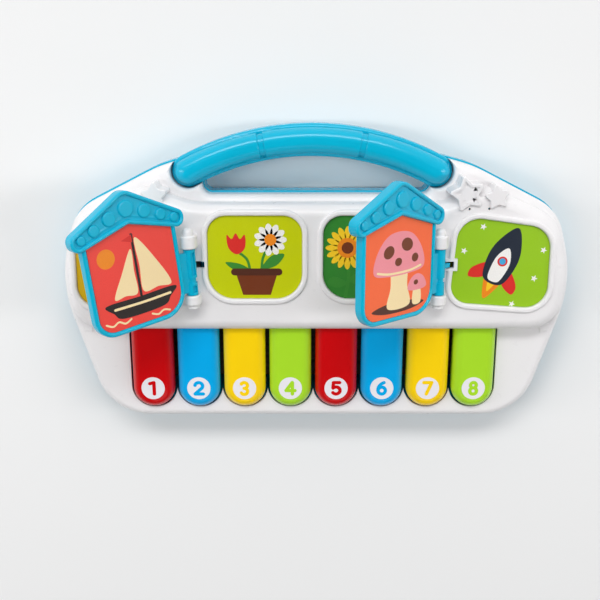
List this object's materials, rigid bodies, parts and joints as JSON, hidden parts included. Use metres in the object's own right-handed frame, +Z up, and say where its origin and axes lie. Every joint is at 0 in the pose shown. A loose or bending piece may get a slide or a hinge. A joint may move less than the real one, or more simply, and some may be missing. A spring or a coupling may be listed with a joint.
{
  "type": "toy piano",
  "caption": "Toddler's toy piano with rounded coloured keys, an arched carrying handle, picture windows and hinged house-shaped flap doors.",
  "frame": {"origin": "centre of the bounding box at the surface that the feet rest on", "axes": "+X to the player's right along the row of keys, +Y away from the player towards the handle, +Z up out of the face"},
  "size_m": [0.321, 0.19, 0.1058],
  "materials": {
    "white_plastic": "gloss",
    "teal_plastic": "gloss",
    "red_plastic": "gloss",
    "blue_plastic": "gloss",
    "yellow_plastic": "gloss",
    "green_plastic": "gloss",
    "black_plastic": "matt",
    "circuit_board": "satin",
    "steel": "satin",
    "battery_can": "satin",
    "lamp_red": "gloss",
    "foot_rubber": "matt",
    "dome_rubber": "matt",
    "mustard_card": "printed",
    "lime_card": "printed",
    "dark_green_card": "printed",
    "light_green_card": "printed",
    "red_card": "printed",
    "orange_card": "printed",
    "cream_card": "printed"
  },
  "bodies": {
    "housing": {"back_shell": "teal_plastic", "batteries": "battery_can", "battery_contacts": "steel", "battery_door": "teal_plastic", "battery_door_screw": "steel", "board_screws": "steel", "door_switch_left": "black_plastic", "door_switch_right": "black_plastic", "front_shell": "white_plastic", "handle_cover": "teal_plastic", "handle_screws": "steel", "hinge_pin_left": "white_plastic", "hinge_pin_right": "white_plastic", "housing_screws": "steel", "key_axle": "steel", "lamp": "lamp_red", "main_board": "circuit_board", "power_switch_body": "black_plastic", "rubber_dome_1": "dome_rubber", "rubber_dome_2": "dome_rubber", "rubber_dome_3": "dome_rubber", "rubber_dome_4": "dome_rubber", "rubber_dome_5": "dome_rubber", "rubber_dome_6": "dome_rubber", "rubber_dome_7": "dome_rubber", "rubber_dome_8": "dome_rubber", "rubber_feet": "foot_rubber", "sound_chip": "black_plastic", "speaker": "steel", "speaker_cone": "black_plastic", "window_card_1": "mustard_card", "window_card_2": "lime_card", "window_card_3": "dark_green_card", "window_card_4": "light_green_card"},
    "key_1": {"key_1": "red_plastic"},
    "key_2": {"key_2": "blue_plastic"},
    "key_3": {"key_3": "yellow_plastic"},
    "key_4": {"key_4": "green_plastic"},
    "key_5": {"key_5": "red_plastic"},
    "key_6": {"key_6": "blue_plastic"},
    "key_7": {"key_7": "yellow_plastic"},
    "key_8": {"key_8": "green_plastic"},
    "door_left": {"door_left": "teal_plastic", "door_card_left": "red_card", "door_back_card_left": "cream_card"},
    "door_right": {"door_right": "teal_plastic", "door_card_right": "orange_card", "door_back_card_right": "cream_card"},
    "power_switch_knob": {"power_switch_knob": "black_plastic"}
  },
  "joints": [
    {"name": "key_1_press", "type": "hinge", "parent": "housing", "child": "key_1", "pos_m": [-0.10505, 0.012, 0.033], "axis": [1, 0, 0], "range_deg": [0, 3], "stiffness_Nm_per_rad": 0.3, "springref_deg": -14.32, "deforming": ["rubber_dome_1"]},
    {"name": "key_2_press", "type": "hinge", "parent": "housing", "child": "key_2", "pos_m": [-0.07555, 0.012, 0.033], "axis": [1, 0, 0], "range_deg": [0, 3], "stiffness_Nm_per_rad": 0.3, "springref_deg": -14.32, "deforming": ["rubber_dome_2"]},
    {"name": "key_3_press", "type": "hinge", "parent": "housing", "child": "key_3", "pos_m": [-0.04605, 0.012, 0.033], "axis": [1, 0, 0], "range_deg": [0, 3], "stiffness_Nm_per_rad": 0.3, "springref_deg": -14.32, "deforming": ["rubber_dome_3"]},
    {"name": "key_4_press", "type": "hinge", "parent": "housing", "child": "key_4", "pos_m": [-0.01655, 0.012, 0.033], "axis": [1, 0, 0], "range_deg": [0, 3], "stiffness_Nm_per_rad": 0.3, "springref_deg": -14.32, "deforming": ["rubber_dome_4"]},
    {"name": "key_5_press", "type": "hinge", "parent": "housing", "child": "key_5", "pos_m": [0.01295, 0.012, 0.033], "axis": [1, 0, 0], "range_deg": [0, 3], "stiffness_Nm_per_rad": 0.3, "springref_deg": -14.32, "deforming": ["rubber_dome_5"]},
    {"name": "key_6_press", "type": "hinge", "parent": "housing", "child": "key_6", "pos_m": [0.04245, 0.012, 0.033], "axis": [1, 0, 0], "range_deg": [0, 3], "stiffness_Nm_per_rad": 0.3, "springref_deg": -14.32, "deforming": ["rubber_dome_6"]},
    {"name": "key_7_press", "type": "hinge", "parent": "housing", "child": "key_7", "pos_m": [0.07195, 0.012, 0.033], "axis": [1, 0, 0], "range_deg": [0, 3], "stiffness_Nm_per_rad": 0.3, "springref_deg": -14.32, "deforming": ["rubber_dome_7"]},
    {"name": "key_8_press", "type": "hinge", "parent": "housing", "child": "key_8", "pos_m": [0.10145, 0.012, 0.033], "axis": [1, 0, 0], "range_deg": [0, 3], "stiffness_Nm_per_rad": 0.3, "springref_deg": -14.32, "deforming": ["rubber_dome_8"]},
    {"name": "door_left_swing", "type": "hinge", "parent": "housing", "child": "door_left", "pos_m": [-0.0763, 0.01, 0.0526], "axis": [-0.0523, 0.9986, 0], "range_deg": [-41, 136]},
    {"name": "door_right_swing", "type": "hinge", "parent": "housing", "child": "door_right", "pos_m": [0.0736, 0.01, 0.0526], "axis": [0, 1, 0], "range_deg": [-41, 136]},
    {"name": "power_switch_slide", "type": "slide", "parent": "housing", "child": "power_switch_knob", "axis": [1, 0, 0], "range_m": [-0.003, 0.003]}
  ]
}
